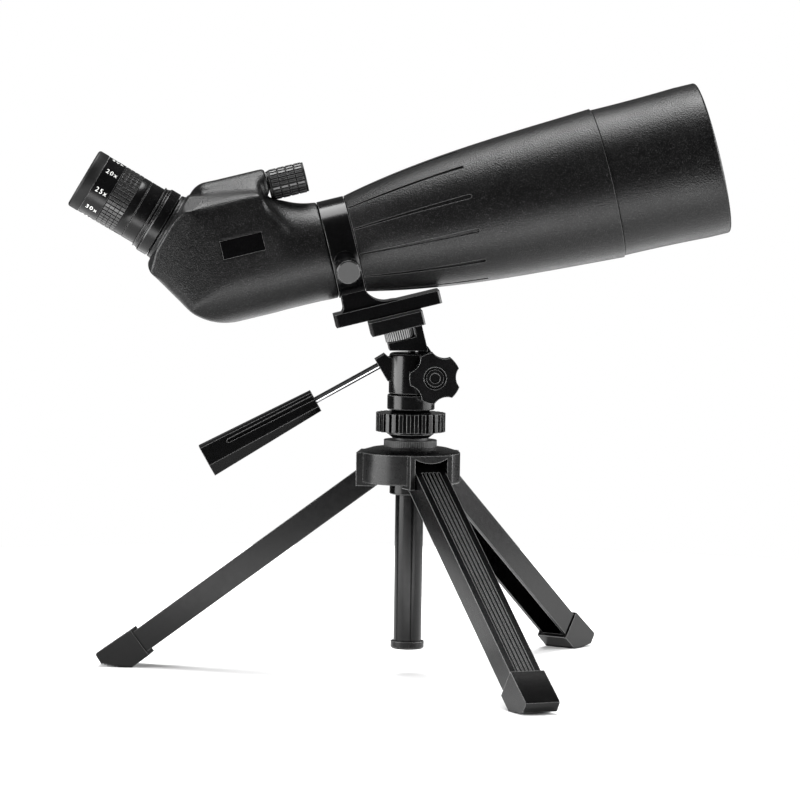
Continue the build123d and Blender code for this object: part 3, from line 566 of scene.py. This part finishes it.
def dial_number(label, along, turn, radius, size, lift=0.02):
    """A printed number that reads down the eyepiece, wrapped on its zoom ring."""
    curve = bpy.data.curves.new("dial", "FONT")
    curve.body = label
    curve.size = size
    curve.extrude = 0.03
    curve.space_character = 1.3
    curve.align_x = "CENTER"
    curve.align_y = "CENTER"
    text = bpy.data.objects.new("dial", curve)
    mesh = bpy.data.meshes.new_from_object(text)
    bpy.data.objects.remove(text)
    for vertex in mesh.vertices:
        x, y, z = vertex.co
        angle = turn + y / radius
        out = NEAR_SIDE * math.cos(angle) + EYE_UP * math.sin(angle)
        vertex.co = (EYE_CROSS + EYE * (along - x) + out * (radius + lift + z)) * MM
    link(f"dial_number_{label}", mesh, DIAL_WHITE, "zoom_ring")


housing_shell()
block_band(
    "zoom_grip_blocks", EYE_CROSS, EYE, EYE_UP, repeated(start=80.3, end=83.1, pitch=3.15, count=4),
    count=46, radius=18.8, height=0.42, width=2.05,
    material=ZOOM_RUBBER, body="zoom_ring",
)
block_band(
    "focus_grip_blocks", KNOB_CENTRE, SIGHT, SCOPE_UP, repeated(start=-32.4, end=-28.0, pitch=5.2, count=4),
    count=24, radius=9.1, height=0.38, width=1.45,
    material=KNOB_RUBBER, body="focus_knob",
)
for k in range(9):
    dial_number(f"{20 + 5 * k}x", along=98.9, turn=math.radians(36 - 40 * k), radius=19.25, size=4.3)


# ---------------------------------------------------------------- stage, light and camera
def disc_floor(radius, rings, sectors):
    """A wide pale floor under the object."""
    mesh = bpy.data.meshes.new("floor")
    build = bmesh.new()
    circles = []
    for i in range(1, rings + 1):
        r = radius * (i / rings) ** 2
        angles = [2 * math.pi * k / sectors for k in range(sectors)]
        circles.append([build.verts.new((r * math.cos(a), r * math.sin(a), 0)) for a in angles])
    build.faces.new(circles[0])
    for inner, outer in zip(circles, circles[1:]):
        for k in range(sectors):
            n = (k + 1) % sectors
            build.faces.new((inner[k], outer[k], outer[n], inner[n]))
    build.to_mesh(mesh)
    build.free()
    floor = bpy.data.objects.new("floor", mesh)
    bpy.context.scene.collection.objects.link(floor)
    m = Nodes("floor")
    m.drive(color=m.blend(m.noise(scale=3, detail=2), dark=grey(0.76), light=grey(0.8)))
    m.set(roughness=0.9, specular=0.05)
    mesh.materials.append(m.material)


def lamp(name, place, target, size, power):
    """A rectangular lamp that the camera doesn't see."""
    data = bpy.data.lights.new(name, "AREA")
    data.shape = "RECTANGLE"
    data.size, data.size_y = size
    data.energy = power
    light = bpy.data.objects.new(name, data)
    light.location = place
    light.rotation_euler = (Vector(target) - Vector(place)).to_track_quat("-Z", "Y").to_euler()
    light.visible_camera = False
    bpy.context.scene.collection.objects.link(light)


def sky(name, direction, angle, strength):
    """A very wide sun, which is as soft as a studio ceiling."""
    data = bpy.data.lights.new(name, "SUN")
    data.angle = math.radians(angle)
    data.energy = strength
    light = bpy.data.objects.new(name, data)
    light.rotation_euler = Vector(direction).to_track_quat("-Z", "Y").to_euler()
    bpy.context.scene.collection.objects.link(light)


def backdrop(seen, reflected):
    """A white world with one brightness for the camera and another for everything else."""
    world = bpy.data.worlds.new("world")
    world.use_nodes = True
    background = world.node_tree.nodes["Background"]
    paths = world.node_tree.nodes.new("ShaderNodeLightPath")
    strength = world.node_tree.nodes.new("ShaderNodeMapRange")
    strength.inputs["To Min"].default_value = reflected
    strength.inputs["To Max"].default_value = seen
    world.node_tree.links.new(paths.outputs["Is Camera Ray"], strength.inputs["Value"])
    world.node_tree.links.new(strength.outputs["Result"], background.inputs["Strength"])
    background.inputs["Color"].default_value = (1, 1, 1, 1)
    bpy.context.scene.world = world


def long_lens(place, target, focal_length, sensor, roll):
    """The camera, with its place and target in millimetres from the column's foot and its roll in degrees."""
    data = bpy.data.cameras.new("camera")
    data.lens = focal_length
    data.sensor_width = sensor
    camera = bpy.data.objects.new("camera", data)
    bpy.context.scene.collection.objects.link(camera)
    camera.location = (COLUMN + Vector(place)) * MM
    aim = ((COLUMN + Vector(target)) * MM - camera.location).to_track_quat("-Z", "Y")
    turn = Matrix.Rotation(math.radians(roll), 4, "Z").to_quaternion()
    camera.rotation_euler = (aim @ turn).to_euler()
    bpy.context.scene.camera = camera


disc_floor(radius=0.75, rings=10, sectors=48)
sky("ceiling", direction=(0.05, -0.2, -1), angle=40, strength=5.0)
lamp("left", place=(-1.85, -0.4, 0.5), target=(0, 0, 0.2), size=(1.9, 1.2), power=90)
lamp("right", place=(1.8, -0.1, 0.6), target=(0, 0, 0.2), size=(2.0, 1.2), power=85)
lamp("table_bounce", place=(0, -0.4, 0.004), target=(0, -0.4, 1), size=(0.9, 0.26), power=4.4)
backdrop(seen=1.0, reflected=0.12)
bpy.context.scene.view_settings.view_transform = "Standard"
long_lens(
    place=(-162.37, -2969.48, 400.60), target=(-6.807, 0, 170.101), focal_length=217.2, sensor=36, roll=0.904
)
